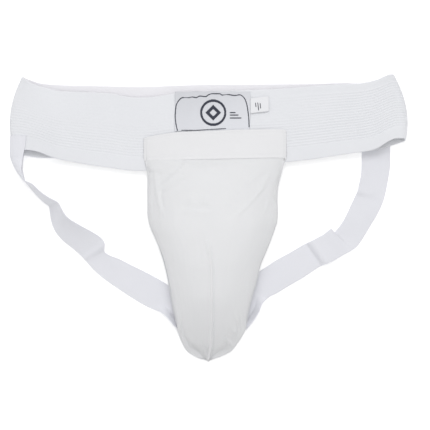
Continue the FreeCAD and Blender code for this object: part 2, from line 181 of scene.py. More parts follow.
# Leg straps: outer edge x, y, z; inner edge x, y, z; any bulge x, z
LEFT_STRAP_ROWS = [
    (-186.5, 84, 1.5, -186.4, 84, 14.4, -16.6, 0), (-187.5, 72, 1.5, -187.6, 71.5, 14.6, -15.6, 0),
    (-190.6, 62, 1.6, -189.5, 62.3, 15.4, -13, 0), (-191.8, 51, 1.6, -190.2, 49.5, 22, -6.7, 0),
    (-189.6, 38.4, 1.2, -186.8, 38, 29, -0.8, 0), (-184.2, 31, 1, -178.6, 34, 29),
    (-176.9, 22.5, 1, -169.8, 26, 28.6), (-170.8, 16.4, 1, -161.8, 20.4, 28),
    (-164.3, 10.6, 1, -152.2, 14.8, 27), (-163.2, 3, 0.9, -148.2, 7.4, 25),
    (-162.3, -3.5, 0.9, -144.2, 1.2, 23), (-158.5, -13.5, 0.9, -138.6, -3.2, 20),
    (-150, -24, 0.9, -129.4, -8.8, 16), (-140, -32, 0.9, -119.4, -14.4, 13),
    (-131.5, -39.6, 0.9, -109.2, -21.8, 9.5), (-128.6, -42.6, 1.6, -106.6, -27, 8, 0, 0.5),
    (-126.2, -45.2, 1.2, -107.6, -33.8, 3.4, 0, 0.4), (-120, -52.4, 0.9, -103.6, -38, 1.6),
    lying(-107, -63.8, -92.8, -42.4), lying(-94.6, -72.4, -80, -48.8),
    lying(-79.5, -82.4, -65, -56.2), lying(-65.8, -90.5, -51.4, -63.6),
    (-55, -95.4, 1.6, -41, -70, 0.9, 0, -0.6), (-48.8, -97.6, 6.4, -35, -74, 0.9, 0, -6),
    (-43.4, -101.6, 11.4, -29, -79, 0.9, 0, -13), (-38.9, -106.8, 13, -23, -85, 0.9, 0, -17),
    (-35.4, -111.4, 10, -18, -90, 0.9, 0, -13), (-32.2, -114.4, 3.4, -13, -94, 0.9, 0, -2),
]
RIGHT_STRAP_ROWS = [
    lying(186.6, 86, 157.2, 86), lying(186.6, 69, 157.2, 66),
    (186.6, 54.9, 0.9, 156.8, 48.6, 0.9, 0, 0.6), (184.2, 38, 0.9, 154.4, 34, 0.9, 0, 1.2),
    (181.4, 24, 1, 152.6, 26.8, 2.4, 0, 0.8), (178.6, 14.6, 0.9, 150.8, 22.8, 1.2),
    (172.9, 2.5, 0.9, 146, 12.4, 0.9, 0, 0.8), (166.8, -7.5, 0.9, 141, 1.8, 0.9, 0, 1),
    (160.2, -18.6, 0.9, 136.2, -6.6, 0.9, 0, 0.4), lying(156, -25, 130.7, -13.6),
    lying(153, -29, 127.9, -16.8), (150.5, -31.5, 1.1, 127.1, -17.4, 2.4),
    (147, -33.8, 1.4, 126, -12.9, 2.8), (143.5, -35.8, 1.5, 125.2, -11.6, 4.2),
    (139.3, -38.1, 1.3, 123, -13.2, 4.2), (133, -41.8, 1.8, 117.5, -17.5, 4),
    (128, -44.5, 3.4, 112.6, -20.1, 4.8), (124.8, -46, 5, 109.2, -21.9, 5.6),
    (121.6, -47.3, 5.6, 105.8, -23.7, 5.8), (119.4, -48.2, 4.6, 103.3, -25, 4.6),
    (117.4, -49, 2.6, 101.4, -25.9, 2.6), (115.2, -50.1, 1, 99.8, -26.8, 1.1),
    (113.1, -51.2, 0.9, 98, -27.6, 1), (98.1, -61.2, 0.9, 85, -35.2, 0.9, 0, 0.4),
    (81.9, -70.6, 0.9, 69, -44, 0.9, 0, 0.4), lying(70.7, -77.5, 57.2, -51.8),
    (61.2, -82.4, 1.2, 45, -60, 0.9), (54.8, -88.6, 7, 34, -70, 0.9, 0, -6),
    (51, -97, 12, 26, -82, 0.9, 0, -15), (46.2, -105, 11.6, 19, -94, 0.9, 0, -15),
    (41.2, -112, 6.6, 15, -99, 0.9, 0, -7), (38.8, -115.2, 2.4, 13, -102, 0.9, 0, -1),
]

# Pouch front: y, left edge x, right edge x, height over the base plane
POUCH_ROWS = [
    (68, -65.6, 78, 2.2), (63, -65.6, 78.2, 3.6),
    (58, -65.4, 77.6, 6.4), (54, -64.8, 76.6, 10),
    (50, -63.6, 75.6, 14), (45, -62.8, 74.4, 19),
    (38.6, -62.8, 72.6, 24.4), (27, -63, 70.6, 31.8),
    (16, -63, 70.2, 37), (7, -63, 70.7, 40.2),
    (-3.6, -62, 70.2, 43.4), (-9.5, -60.4, 68.4, 45),
    (-20, -55.8, 64.8, 48.4), (-33.5, -50.5, 59.5, 51),
    (-48.6, -45.8, 53.3, 53), (-70, -41.2, 47.8, 52.6),
    (-83, -38.8, 44.2, 50.6), (-100, -36, 40.4, 44.2),
    (-113, -33.6, 38.4, 36.6), (-122, -30.6, 34.2, 29.8),
    (-130, -27.2, 29, 22.6), (-137, -23, 23.4, 15.4),
    (-141, -17.8, 17, 10.8), (-143.7, -12.8, 10.6, 7.4),
    (-145.6, -7.8, 5.2, 4.6), (-146.8, -2.6, 1.4, 2.2),
]

# Cup with its cushion, for the cloth to rest on: y, half width, height over the base plane
CUP_ROWS = [
    (55.5, 8, 1), (54, 20, 7.5), (51, 32, 11),
    (46, 43.5, 15), (36, 53.5, 21.5), (20, 60, 30),
    (0, 61.5, 38), (-25, 55, 45.5), (-50, 46.5, 49),
    (-75, 40, 48), (-100, 33.5, 39.5), (-115, 27.5, 30),
    (-125, 21, 21), (-131, 13, 13), (-134.5, 6, 2),
]
CUP_MIDDLE_X = 3.6
CUP_LEAN = 0.0305

# Middle seam of the pouch, in plan
DART_LINE = [(0.6, -26), (2.6, -40), (4.1, -56), (4, -96), (2.9, -128), (0.4, -146)]

# Soft marks of the cloth over the cup: plan points, width, height
CREASES = [
    ([(-49, 31), (-38, 40), (-30, 46), (-24, 54)], 2.4, 1.1),
    ([(-49, 27), (-36, 35), (-27, 41)], 2.2, -0.9),
    ([(-61, 46), (-50, 43.8)], 1.7, -1.7),
    ([(-62, 50.5), (-50, 48.5)], 2.6, 1),
    ([(-61, 40.5), (-52, 39)], 2.4, 0.6),
    ([(-27, 56), (-8, 55.5)], 3.2, -0.7),
    ([(5, 51.5), (8, 51)], 3.6, 0.6),
    ([(42, 54), (46, 55)], 3.6, 0.6),
    ([(-18, 17), (-17, 20)], 3, 1.1),
    ([(-5.5, 17), (-5, 20)], 3, 1.1),
    ([(-25, 11), (-12, 10), (-1, 11)], 2.4, -0.9),
    ([(-24, 6.5), (-12, 5), (-2, 6)], 3, 0.4),
    ([(52, 32), (60, 22)], 3, 0.5),
    ([(22, 12), (26, 2), (25, -8)], 4, 0.5),
    ([(-34, 6), (-37, -16)], 5, 0.4),
    ([(44, -8), (40, -40)], 6, 0.4),
    ([(-0.4, -23), (0.2, -34)], 2.2, 1),
    ([(-9, -26), (-8, -44)], 4, -0.4),
    ([(-14, -50), (-15, -90)], 6, 0.4),
    ([(21, -50), (22, -90)], 6, 0.4),
    ([(-20, -118), (-12, -136)], 3, -0.5),
    ([(18, -116), (12, -134)], 3, -0.5),
]

# Hem: x, lower edge y, upper edge y
HEM_ROWS = [
    (-66, 57, 81.4), (-63, 58, 82.2),
    (-56, 58.4, 83.8), (-45, 58.6, 85.6),
    (-30, 58.8, 87.4), (0, 59.4, 88.6),
    (40, 60.2, 90), (70, 60.8, 90.2),
    (76.6, 60.6, 90), (78.6, 58.6, 89.4),
]

# ---- curves and meshes ----

def curve_through(keys, values, at):
    """Smooth curve through rows of values that never overshoots them."""
    keys = np.asarray(keys, float)
    values = np.asarray(values, float)
    gaps = np.diff(keys)[:, None]
    steps = np.diff(values, axis=0) / gaps
    tangents = np.zeros_like(values)
    tangents[0] = steps[0]
    tangents[-1] = steps[-1]
    before, after = steps[:-1], steps[1:]
    same_way = before * after > 0
    total = np.where(same_way, before + after, 1.0)
    tangents[1:-1] = np.where(same_way, 2 * before * after / total, 0.0)
    i = np.clip(np.searchsorted(keys, at, side="right") - 1, 0, len(keys) - 2)
    span = gaps[i]
    t = ((np.asarray(at) - keys[i])[:, None]) / span
    ahead = t * t * (3 - 2 * t)
    bend = span * (tangents[i] * t * (1 - t) ** 2 - tangents[i + 1] * t * t * (1 - t))
    return values[i] + (values[i + 1] - values[i]) * ahead + bend


def lengths(line):
    """Length along a line of points, up to each of them."""
    return np.concatenate([[0.0], np.cumsum(np.linalg.norm(np.diff(line, axis=0), axis=1))])


def arch(angle, power):
    """Sideways and upward reach of a squarish arch."""
    cosine, sine = np.cos(angle), np.sin(angle)
    return -np.sign(cosine) * np.abs(cosine) ** (2.0 / power), np.abs(sine) ** (2.0 / power)


def stacked(x, y, z):
    """Grid of points from its three coordinates."""
    return np.stack(np.broadcast_arrays(x, y, z), axis=2)


def along(rows, spacing):
    """Rows filled in at an even spacing along the middle of a strip.

    A full row has eight numbers; one of six has no bulge."""
    rows = np.array([(*row, 0, 0)[:8] for row in rows], float)
    middle = 0.5 * (rows[:, 0:3] + rows[:, 3:6])
    middle[:, 0] += rows[:, 6]
    keys = lengths(middle)
    at = np.linspace(0.0, keys[-1], int(keys[-1] / spacing) + 1)
    return curve_through(keys, rows, at), at


def strip_grid(rows, spacing, across):
    """Middle surface of a strip: points [along, across, 3] and the length along it."""
    filled, at = along(rows, spacing)
    t = np.asarray(across)[None, :, None]
    low = filled[:, None, 0:3]
    high = filled[:, None, 3:6]
    bulge = np.zeros((len(filled), 1, 3))
    bulge[:, 0, 0] = filled[:, 6]
    bulge[:, 0, 2] = filled[:, 7]
    return low + (high - low) * t + bulge * 4 * t * (1 - t), at


def grid_normals(grid, closed=False):
    """Unit normals of a grid; a closed grid's last row repeats its first."""
    if closed:
        wrapped = np.concatenate([grid[-2:-1], grid, grid[1:2]])
        ahead = wrapped[2:] - wrapped[:-2]
    else:
        ahead = np.gradient(grid, axis=0)
    side = np.gradient(grid, axis=1)
    normal = np.cross(ahead, side)
    return normal / np.maximum(np.linalg.norm(normal, axis=2, keepdims=True), 1e-9)


def edge_round(across_mm, width, radius):
    """Share of the full thickness at each place across, falling to none at the edges."""
    inside = np.minimum(across_mm, width - across_mm)
    t = np.clip(inside / radius, 0.0, 1.0)
    return np.sqrt(np.maximum(1.0 - (1.0 - t) ** 2, 0.0))


def add_object(name, data):
    piece = bpy.data.objects.new(name, data)
    bpy.context.scene.collection.objects.link(piece)
    return piece


def make_object(name, points, faces, uvs):
    """Smooth mesh object; points are in millimetres."""
    mesh = bpy.data.meshes.new(name)
    mesh.from_pydata((np.asarray(points) * MM).tolist(), [], faces)
    layer = mesh.uv_layers.new(name="cloth")
    layer.data.foreach_set("uv", np.asarray(uvs, float).ravel())
    mesh.polygons.foreach_set("use_smooth", [True] * len(mesh.polygons))
    mesh.validate()
    mesh.update()
    return add_object(name, mesh)


def sheet_object(name, top, bottom, u, v, closed=False):
    """Closed cloth body between two grids; u and v are its lengths in millimetres."""
    rows, columns = top.shape[:2]
    if closed:
        rows -= 1
    points = np.concatenate([top[:rows].reshape(-1, 3), bottom[:rows].reshape(-1, 3)])
    faces = []
    uvs = []

    def add(*places):
        faces.append([((i % rows) + below * rows) * columns + j for i, j, below in places])
        uvs.extend([(u[i], v[j]) for i, j, below in places])

    last = columns - 1
    for i in range(rows if closed else rows - 1):
        for j in range(last):
            add((i, j, 0), (i + 1, j, 0), (i + 1, j + 1, 0), (i, j + 1, 0))
            add((i, j + 1, 1), (i + 1, j + 1, 1), (i + 1, j, 1), (i, j, 1))
        add((i, 0, 1), (i + 1, 0, 1), (i + 1, 0, 0), (i, 0, 0))
        add((i, last, 0), (i + 1, last, 0), (i + 1, last, 1), (i, last, 1))
    if not closed:
        end = rows - 1
        for j in range(last):
            add((0, j, 0), (0, j + 1, 0), (0, j + 1, 1), (0, j, 1))
            add((end, j, 1), (end, j + 1, 1), (end, j + 1, 0), (end, j, 0))
    return make_object(name, points, faces, uvs)


def thickened(grid, half):
    """Upper and lower face of flat cloth, from half its thickness."""
    offset = np.zeros(grid.shape)
    offset[..., 2] = half
    return grid + offset, grid - offset


def tube_object(name, lines, radius, sides=6, flat=1.0):
    """Threads: a closed round tube along each line of points."""
    points = []
    faces = []
    uvs = []
    for line in lines:
        line = np.asarray(line, float)
        first = len(points)
        direction = np.gradient(line, axis=0)
        direction /= np.maximum(np.linalg.norm(direction, axis=1, keepdims=True), 1e-9)
        side = np.cross(direction, (0.0, 0.0, 1.0))
        side /= np.maximum(np.linalg.norm(side, axis=1, keepdims=True), 1e-9)
        up = np.cross(side, direction)
        taper = np.ones(len(line))
        taper[0] = END_TAPER
        taper[-1] = END_TAPER
        for k in range(len(line)):
            for s in range(sides):
                angle = 2 * math.pi * s / sides
                out = side[k] * math.cos(angle) + up[k] * math.sin(angle) * flat
                points.append(line[k] + out * radius * taper[k])
        for k in range(len(line) - 1):
            for s in range(sides):
                a = first + k * sides + s
                b = first + k * sides + (s + 1) % sides
                faces.append([a, b, b + sides, a + sides])
                uvs.extend([(k, s), (k, s + 1), (k + 1, s + 1), (k + 1, s)])
        for end, order in ((first, -1), (first + (len(line) - 1) * sides, 1)):
            faces.append([end + s for s in range(sides)][::order])
            uvs.extend([(0, 0)] * sides)
    return make_object(name, points, faces, uvs)


def finish_piece(piece, slot, *nodes, body="garment", look=None):
    """Put a piece on its body and slot, in place of the named solids."""
    piece.data.materials.append(MATERIALS[look or slot])
    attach(piece, body)
    if nodes:
        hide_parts(*nodes)


def thread_piece(name, lines, radius, *nodes, sides=6):
    piece = tube_object(name, lines, radius, sides)
    finish_piece(piece, "thread", *nodes)
    return piece


# ---- materials ----

# Grain of the cloth: fine hairs and slow blotches, and how far they change its tone
HAIR_SCALE = 2600.0
BLOTCH_SCALE = 28.0
CLOTH_TONE = 0.035

# Pitches of the weaves and knits, along and across, in millimetres
ELASTIC_WEAVE = (0.9, 1.45)
STRAP_WEAVE = (0.7, 1.1)
KNIT = (0.8, 0.65)


def new_material(name):
    material = bpy.data.materials.new(name)
    material.use_nodes = True
    tree = material.node_tree
    return material, tree, tree.nodes["Principled BSDF"]


def math_node(tree, operation, first, second=None):
    node = tree.nodes.new("ShaderNodeMath")
    node.operation = operation
    for socket, value in zip(node.inputs, (first, second)):
        if value is None:
            continue
        if isinstance(value, (int, float)):
            socket.default_value = value
        else:
            tree.links.new(value, socket)
    return node.outputs[0]


def add_scaled(tree, base, value, times):
    return math_node(tree, "ADD", base, math_node(tree, "MULTIPLY", value, times))


def wave(tree, value, pitch):
    """Sine of a length in millimetres, from -1 to 1 once each pitch."""
    return math_node(tree, "SINE", math_node(tree, "MULTIPLY", value, 2 * math.pi / pitch))


def noise(tree, coordinates, scale, detail=3.0):
    node = tree.nodes.new("ShaderNodeTexNoise")
    node.inputs["Scale"].default_value = scale
    node.inputs["Detail"].default_value = detail
    tree.links.new(coordinates.outputs["Object"], node.inputs["Vector"])
    return node.outputs["Fac"]


def bumped(tree, shader, height, strength, depth):
    """Raise a surface by a height pattern; depth is in millimetres."""
    bump = tree.nodes.new("ShaderNodeBump")
    bump.inputs["Strength"].default_value = strength
    bump.inputs["Distance"].default_value = depth * MM
    tree.links.new(height, bump.inputs["Height"])
    tree.links.new(bump.outputs["Normal"], shader.inputs["Normal"])


def shaded(tree, shader, colour, shade):
    """Base colour made lighter and darker by a shade pattern round 1."""
    mix = tree.nodes.new("ShaderNodeVectorMath")
    mix.operation = "SCALE"
    mix.inputs[0].default_value = colour
    tree.links.new(shade, mix.inputs["Scale"])
    tree.links.new(mix.outputs[0], shader.inputs["Base Color"])


def cloth_material(name, colour, weave, depth, rough=0.9, sheen=0.15, fade=None):
    """Woven or knitted cloth: weave gives the two pitches in millimetres.

    fade is how much lighter the cloth gets for each millimetre along and across it; it paints a sheen
    and shade gradient on the cloth."""
    material, tree, shader = new_material(name)
    coordinates = tree.nodes.new("ShaderNodeTexCoord")
    split = tree.nodes.new("ShaderNodeSeparateXYZ")
    tree.links.new(coordinates.outputs["UV"], split.inputs[0])
    lengthwise = wave(tree, split.outputs["X"], weave[0])
    crosswise = wave(tree, split.outputs["Y"], weave[1])
    threads = math_node(tree, "MULTIPLY", lengthwise, crosswise)
    hairs = noise(tree, coordinates, HAIR_SCALE)
    bumped(tree, shader, math_node(tree, "ADD", threads, hairs), 0.7, depth)
    blotch = noise(tree, coordinates, BLOTCH_SCALE, 4.0)
    half_tone = 0.5 * CLOTH_TONE
    shade = add_scaled(tree, 1.0 - half_tone, blotch, CLOTH_TONE)
    # Lighter on the raised threads and darker between them: painted shade in the weave's grooves
    shade = add_scaled(tree, shade, threads, half_tone)
    # Painted sheen and shade: the cloth grows lighter one way and darker the other
    if fade:
        for axis, change in zip("XY", fade):
            shade = add_scaled(tree, shade, split.outputs[axis], change)
    shaded(tree, shader, colour, shade)
    shader.inputs["Roughness"].default_value = rough
    shader.inputs["Sheen Weight"].default_value = sheen
    shader.inputs["Sheen Roughness"].default_value = 0.5
    shader.inputs["Specular IOR Level"].default_value = 0.25
    return material


def plain_material(name, colour, rough, depth=0.05, scale=900.0):
    """Moulded or printed surface with a fine grain."""
    material, tree, shader = new_material(name)
    coordinates = tree.nodes.new("ShaderNodeTexCoord")
    bumped(tree, shader, noise(tree, coordinates, scale), 0.5, depth)
    blotch = noise(tree, coordinates, 40.0)
    shaded(tree, shader, colour, add_scaled(tree, 0.96, blotch, 0.08))
    shader.inputs["Roughness"].default_value = rough
    return material


MATERIALS = {
    "waist_elastic": cloth_material("ribbed_elastic", (0.815, 0.825, 0.855), ELASTIC_WEAVE, 0.10),
    # Lighter, pinker elastic for the loop's inner face: painted light
    "waist_inside": cloth_material("elastic_inside", (0.875, 0.868, 0.90), ELASTIC_WEAVE, 0.08),
    "strap_elastic": cloth_material("strap_elastic", (0.82, 0.825, 0.87), STRAP_WEAVE, 0.10),
    "pouch_knit": cloth_material("pouch_knit", (0.80, 0.805, 0.818), KNIT, 0.08, 0.9, 0.5),
    "hem_knit": cloth_material("hem_knit", (0.835, 0.835, 0.85), KNIT, 0.08),
    "lining_knit": cloth_material("lining_knit", (0.78, 0.785, 0.79), KNIT, 0.08),
    "twill_tape": cloth_material("twill_tape", (0.80, 0.80, 0.80), (0.9, 0.6), 0.10),
    # The label is painted darker towards its top and lighter to the right: a painted sheen and shade
    "label_cloth": cloth_material("label_cloth", (0.735, 0.745, 0.785), (0.35, 0.5), 0.04, 0.7, 0.1,
                                  fade=(0.0009, -0.003)),
    "label_print": cloth_material("label_print", (0.055, 0.06, 0.085), (0.4, 0.5), 0.05, 0.75),
    "satin": cloth_material("satin_ribbon", (0.815, 0.82, 0.845), (0.3, 2.2), 0.03, 0.45, 0.2),
    "tag_print": cloth_material("tag_print", (0.05, 0.05, 0.07), (0.3, 0.4), 0.02, 0.6),
    "thread": cloth_material("thread", (0.84, 0.84, 0.86), (2.0, 2.0), 0.05, 0.6),
    "cup_plastic": plain_material("cup_plastic", (0.74, 0.745, 0.73), 0.42),
    "cushion_rubber": plain_material("cushion_rubber", (0.55, 0.57, 0.60), 0.55, 0.08, 600.0),
}


# ---- waistband and straps ----

def rib_profile(across_mm, x):
    """How far the ribbed face stands back; the ribs soften to the left and upwards."""
    phase = (across_mm - RIB_START) / RIB_PITCH
    groove = np.exp(-(((phase - np.round(phase)) * RIB_PITCH) / RIB_WIDTH) ** 2)
    inside = (across_mm > RIB_START - 0.5 * RIB_PITCH) & (across_mm < RIB_END + 0.5 * RIB_PITCH)
    upper = np.clip((across_mm - 30.0) / 20.0, 0.0, 1.0)
    slack = 1.0 / (1.0 + np.exp((x - 110.0) / 18.0))
    patchy = 0.85 + 0.15 * np.sin(x / 17.0 + across_mm / 9.0) * np.sin(x / 7.3 - across_mm / 5.0)
    fade = (1.0 - 0.84 * upper * slack) * (1.25 - 0.5 * slack)
    return RIB_DEPTH * groove * inside * fade * patchy


def band_places():
    """Places across the band, close together at its ribs and edges."""
    edges = [0.0, 0.15, 0.4, 0.8, 1.4, 2.4, 5.0, 8.5, 11.5]
    half_rib = 0.5 * RIB_PITCH
    ribs = np.arange(RIB_START - half_rib, RIB_END + half_rib, RIB_PITCH / POINTS_IN_A_RIB)
    upper = [BAND_WIDTH - 5.0] + [BAND_WIDTH - e for e in edges[5::-1]]
    return np.array(edges + ribs.tolist() + upper)


def ripple(grid, height):
    """Slow unevenness of cloth that has been laid down by hand."""
    x, y = grid[..., 0], grid[..., 1]
    wave_a = np.sin(x / 23.0 + 0.8) * np.sin(y / 31.0 + x / 90.0)
    wave_b = np.sin(x / 11.0 - y / 17.0 + 2.0)
    return height * (0.6 * wave_a + 0.4 * wave_b)


def paint_light_on_upper_inside(piece, across):
    """Painted light: lighter cloth for the upper part of the loop's inner face, where light comes
    through the thin band.
    """
    piece.data.materials.append(MATERIALS["waist_inside"])
    inner_points = len(piece.data.vertices) // 2
    lit_faces = []
    for face in piece.data.polygons:
        place = across[min(face.vertices) % len(across)]
        lit_faces.append(int(max(face.vertices) < inner_points and place > PAINTED_LIGHT_FROM))
    piece.data.polygons.foreach_set("material_index", lit_faces)


def make_waistband():
    across = band_places()
    grid, at = strip_grid(BAND_ROWS, BAND_SPACING, across / BAND_WIDTH)
    normal = -grid_normals(grid, closed=True)
    front = np.clip((grid[..., 2:3] - 6.0) / 4.0, 0.0, 1.0)
    grid = grid + normal * ripple(grid, 0.35)[..., None] * front
    half = 0.5 * BAND_THICK * edge_round(across, BAND_WIDTH, 0.9)[None, :]
    ribbed = (half - rib_profile(across[None, :], grid[..., 0]))[..., None]
    outer = grid + normal * ribbed
    inner = grid - normal * ribbed
    piece = sheet_object("waistband_cloth", inner, outer, at, across, closed=True)
    finish_piece(piece, "waist_elastic", "waistband")
    paint_light_on_upper_inside(piece, across)


def strap_places():
    edges = [0.0, 0.15, 0.4, 0.8, 1.3, 1.6, 1.9, 2.2, 2.5, 3.2]
    middle = np.linspace(4.4, STRAP_WIDTH - 4.4, 24).tolist()
    return np.array(edges + middle + [STRAP_WIDTH - e for e in edges[::-1]])


def make_strap(side, rows):
    across = strap_places()
    grid, at = strip_grid(rows, STRAP_SPACING, across / STRAP_WIDTH)
    grid[..., 2] = np.maximum(grid[..., 2], LOWEST_MIDDLE)
    normal = grid_normals(grid)
    half = 0.5 * STRAP_THICK * edge_round(across, STRAP_WIDTH, 0.7)
    inside = np.minimum(across, STRAP_WIDTH - across)
    half = half - SELVEDGE_DEPTH * np.exp(-((inside - SELVEDGE) / 0.35) ** 2)
    offset = normal * half[None, :, None]
    name = "leg_strap_" + side
    piece = sheet_object(name + "_webbing", grid + offset, grid - offset, at, across)
    finish_piece(piece, "strap_elastic", name)


# ---- pouch ----

def base_height(y):
    return np.maximum(BASE_Z + BASE_SLOPE * y, LOWEST_BASE)


def distance_to_line(x, y, line):
    """Plan distance from each point to a line of points."""
    best = np.full(x.shape, 1e9)
    for (ax, ay), (bx, by) in zip(line, line[1:]):
        run_x, run_y = bx - ax, by - ay
        t = np.clip(((x - ax) * run_x + (y - ay) * run_y) / (run_x ** 2 + run_y ** 2), 0, 1)
        best = np.minimum(best, np.hypot(x - ax - t * run_x, y - ay - t * run_y))
    return best


def crease_lift(x, y):
    lift = np.zeros(x.shape)
    for line, width, height in CREASES:
        lift += height * np.exp(-(distance_to_line(x, y, line) / width) ** 2)
    return lift


def dart_middle(y):
    """Where the middle seam runs, in plan, at each place down the pouch."""
    keys = np.array(DART_LINE, float)
    return curve_through(-keys[:, 1], keys[:, :1], np.clip(-y, -keys[0, 1], -keys[-1, 1]))[:, 0]


def dart_lift(x, y):
    """Rounded ridge of the middle seam, with the stitched groove on its right."""
    across = x - dart_middle(y.ravel()).reshape(y.shape)
    grown = np.clip((DART_TOP - y) / 13.0, 0.0, 1.0)
    ridge = 1.25 * np.exp(-((across + RIDGE_SIDE) / 1.7) ** 2)
    groove = -0.6 * np.exp(-((across - GROOVE_SIDE) / 0.9) ** 2)
    return (ridge + groove) * grown * (0.75 + 0.45 * np.clip((-y - 90.0) / 50.0, 0.0, 1.0))


def pouch_rows_at(y):
    rows = np.array(POUCH_ROWS)[::-1]
    return curve_through(rows[:, 0], rows[:, 1:], y)


def pouch_points(y, angle, grow=0.0):
    """Points of the pouch's outer face at places y and angles over the arch."""
    shape = pouch_rows_at(y)
    middle = 0.5 * (shape[:, 0] + shape[:, 1])[:, None]
    half = 0.5 * (shape[:, 1] - shape[:, 0])[:, None] + grow
    rise = shape[:, 2][:, None] + grow
    sideways, upwards = arch(angle, ARCH_POWER)
    return stacked(middle + half * sideways, y[:, None], base_height(y)[:, None] + rise * upwards)


def refine(grid, rows, columns):
    """Fine grid through a coarse one, smooth both ways."""
    count_y, count_a = grid.shape[:2]
    flat = curve_through(np.arange(count_y), grid.reshape(count_y, -1), rows)
    turned = flat.reshape(len(rows), count_a, 3).transpose(1, 0, 2).reshape(count_a, -1)
    fine = curve_through(np.arange(count_a), turned, columns)
    return fine.reshape(len(columns), len(rows), 3).transpose(1, 0, 2)


def cup_form():
    """Plain outer form of the cup and cushion, for the cloth to rest on."""
    rows = np.array(CUP_ROWS)
    y = np.concatenate([np.linspace(rows[0, 0], 40.0, 8), np.linspace(36.0, -100.0, 30),
                        np.linspace(-104.0, rows[-1, 0], 10)])
    shape = curve_through(rows[::-1, 0], rows[::-1, 1:], y)
    sideways, upwards = arch(np.linspace(0.0, math.pi, 33), ARCH_POWER)
    y = y[:, None]
    x = shape[:, :1] * sideways + CUP_MIDDLE_X + CUP_LEAN * y
    return stacked(x, y, BASE_Z + BASE_SLOPE * y + shape[:, 1:] * upwards)


def grid_object(name, grid, scale):
    """Open mesh through a grid of points, for the simulation."""
    rows, columns = grid.shape[:2]
    faces = []
    for i in range(rows - 1):
        for j in range(columns - 1):
            a = i * columns + j
            faces.append([a, a + columns, a + columns + 1, a + 1])
    mesh = bpy.data.meshes.new(name)
    mesh.from_pydata((grid.reshape(-1, 3) * scale).tolist(), [], faces)
    return add_object(name, mesh)


def hold_edges(cloth, rows, columns):
    """Vertex group of the knit's sewn edges."""
    held = cloth.vertex_groups.new(name="held")
    edge = [i * columns + j for i in range(rows) for j in range(columns)
            if i in (0, 1, rows - 1) or j in (0, columns - 1)]
    held.add(edge, 1.0, "REPLACE")


def cup_collider():
    collider = grid_object("cup_form", cup_form(), DRAPE_SCALE)
    collider.modifiers.new("collision", "COLLISION")
    collider.collision.thickness_outer = 0.006
    collider.collision.thickness_inner = 0.1
    collider.collision.cloth_friction = 8.0
    return collider


def set_knit(modifier):
    """Settings of a firm knit that is a little too small for the cup."""
    for name, value in KNIT_SETTINGS.items():
        setattr(modifier.settings, name, value)
    modifier.collision_settings.distance_min = 0.011
    modifier.collision_settings.collision_quality = 3
    modifier.point_cache.frame_start = 1
    modifier.point_cache.frame_end = DRAPE_FRAMES


def drape(grid):
    """Cloth simulation: the knit, held round its edges, settles tight over the cup.

    It runs large, where the solver's contact distances hold. The side walls near the
    sewn edges keep their first shape."""
    rows, columns = grid.shape[:2]
    cloth = grid_object("pouch_drape", grid, DRAPE_SCALE)
    hold_edges(cloth, rows, columns)
    collider = cup_collider()
    set_knit(cloth.modifiers.new("cloth", "CLOTH"))
    scene = bpy.context.scene
    scene.frame_start = 1
    scene.frame_end = DRAPE_FRAMES
    for frame_number in range(1, DRAPE_FRAMES + 1):
        scene.frame_set(frame_number)
    shaped = cloth.evaluated_get(bpy.context.evaluated_depsgraph_get())
    settled = np.array([v.co for v in shaped.data.vertices], float)
    result = settled.reshape(rows, columns, 3) / DRAPE_SCALE
    scene.frame_set(1)
    bpy.data.objects.remove(cloth)
    bpy.data.objects.remove(collider)
    move = result - grid
    reach = np.linalg.norm(move, axis=2, keepdims=True)
    from_edge = np.sin(np.linspace(0.0, math.pi, columns))[None, :, None]
    share = np.clip((from_edge - WALL_START) / (WALL_END - WALL_START), 0.0, 1.0)
    share = share * share * (3.0 - 2.0 * share)
    return grid + move * share * np.minimum(1.0, DRAPE_CAP / np.maximum(reach, 1e-6))


def pouch_shape():
    top = POUCH_ROWS[0][0]
    tip = POUCH_ROWS[-1][0]
    y = np.concatenate([np.linspace(top, -118.0, 66), np.linspace(-120.4, tip, 14)])
    angle = np.linspace(0.0, math.pi, 57)
    grid = pouch_points(y, angle, -DRAPE_INSET)
    return drape(grid)


def pouch_surface():
    """Outer face of the pouch with its creases and seam, and its normals."""
    coarse = pouch_shape()
    rows = np.linspace(0.0, coarse.shape[0] - 1.0, POUCH_FINE_ROWS)
    columns = np.linspace(0.0, coarse.shape[1] - 1.0, POUCH_FINE_COLUMNS)
    grid = refine(coarse, rows, columns)
    normal = grid_normals(grid)
    normal *= np.sign(normal[len(rows) // 2, len(columns) // 2, 2])
    share = columns / columns[-1]
    settle = np.clip(np.sin(math.pi * share), 0.0, 1.0) ** 0.5
    lift = crease_lift(grid[..., 0], grid[..., 1]) + 0.12 * ripple(grid * 0.8, 1.0)
    lift = np.maximum(lift, DEEPEST_CREASE) + dart_lift(grid[..., 0], grid[..., 1])
    return grid + normal * (lift * settle[None, :])[..., None], normal


def make_pouch(outer, normal):
    inner = outer - normal * POUCH_FABRIC
    inner[..., 2] = np.maximum(inner[..., 2], 0.4)
    across = lengths(outer[outer.shape[0] // 2])
    length = lengths(outer[:, outer.shape[1] // 2])
    piece = sheet_object("pouch_front_cloth", outer, inner, length, across)
    finish_piece(piece, "pouch_knit", "pouch_front")
    flatten(piece)


def flatten(piece):
    """Give the piece a mesh of its own, not shared with any other object."""
    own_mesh(piece)


def height_at(outer, place):
    """Height of the finished pouch surface near a plan point."""
    distance = np.hypot(outer[..., 0] - place[0], outer[..., 1] - place[1]).ravel()
    near = np.argpartition(distance, 6)[:6]
    weight = 1.0 / (distance[near] + 0.2) ** 2
    return float((outer[..., 2].ravel()[near] * weight).sum() / weight.sum())


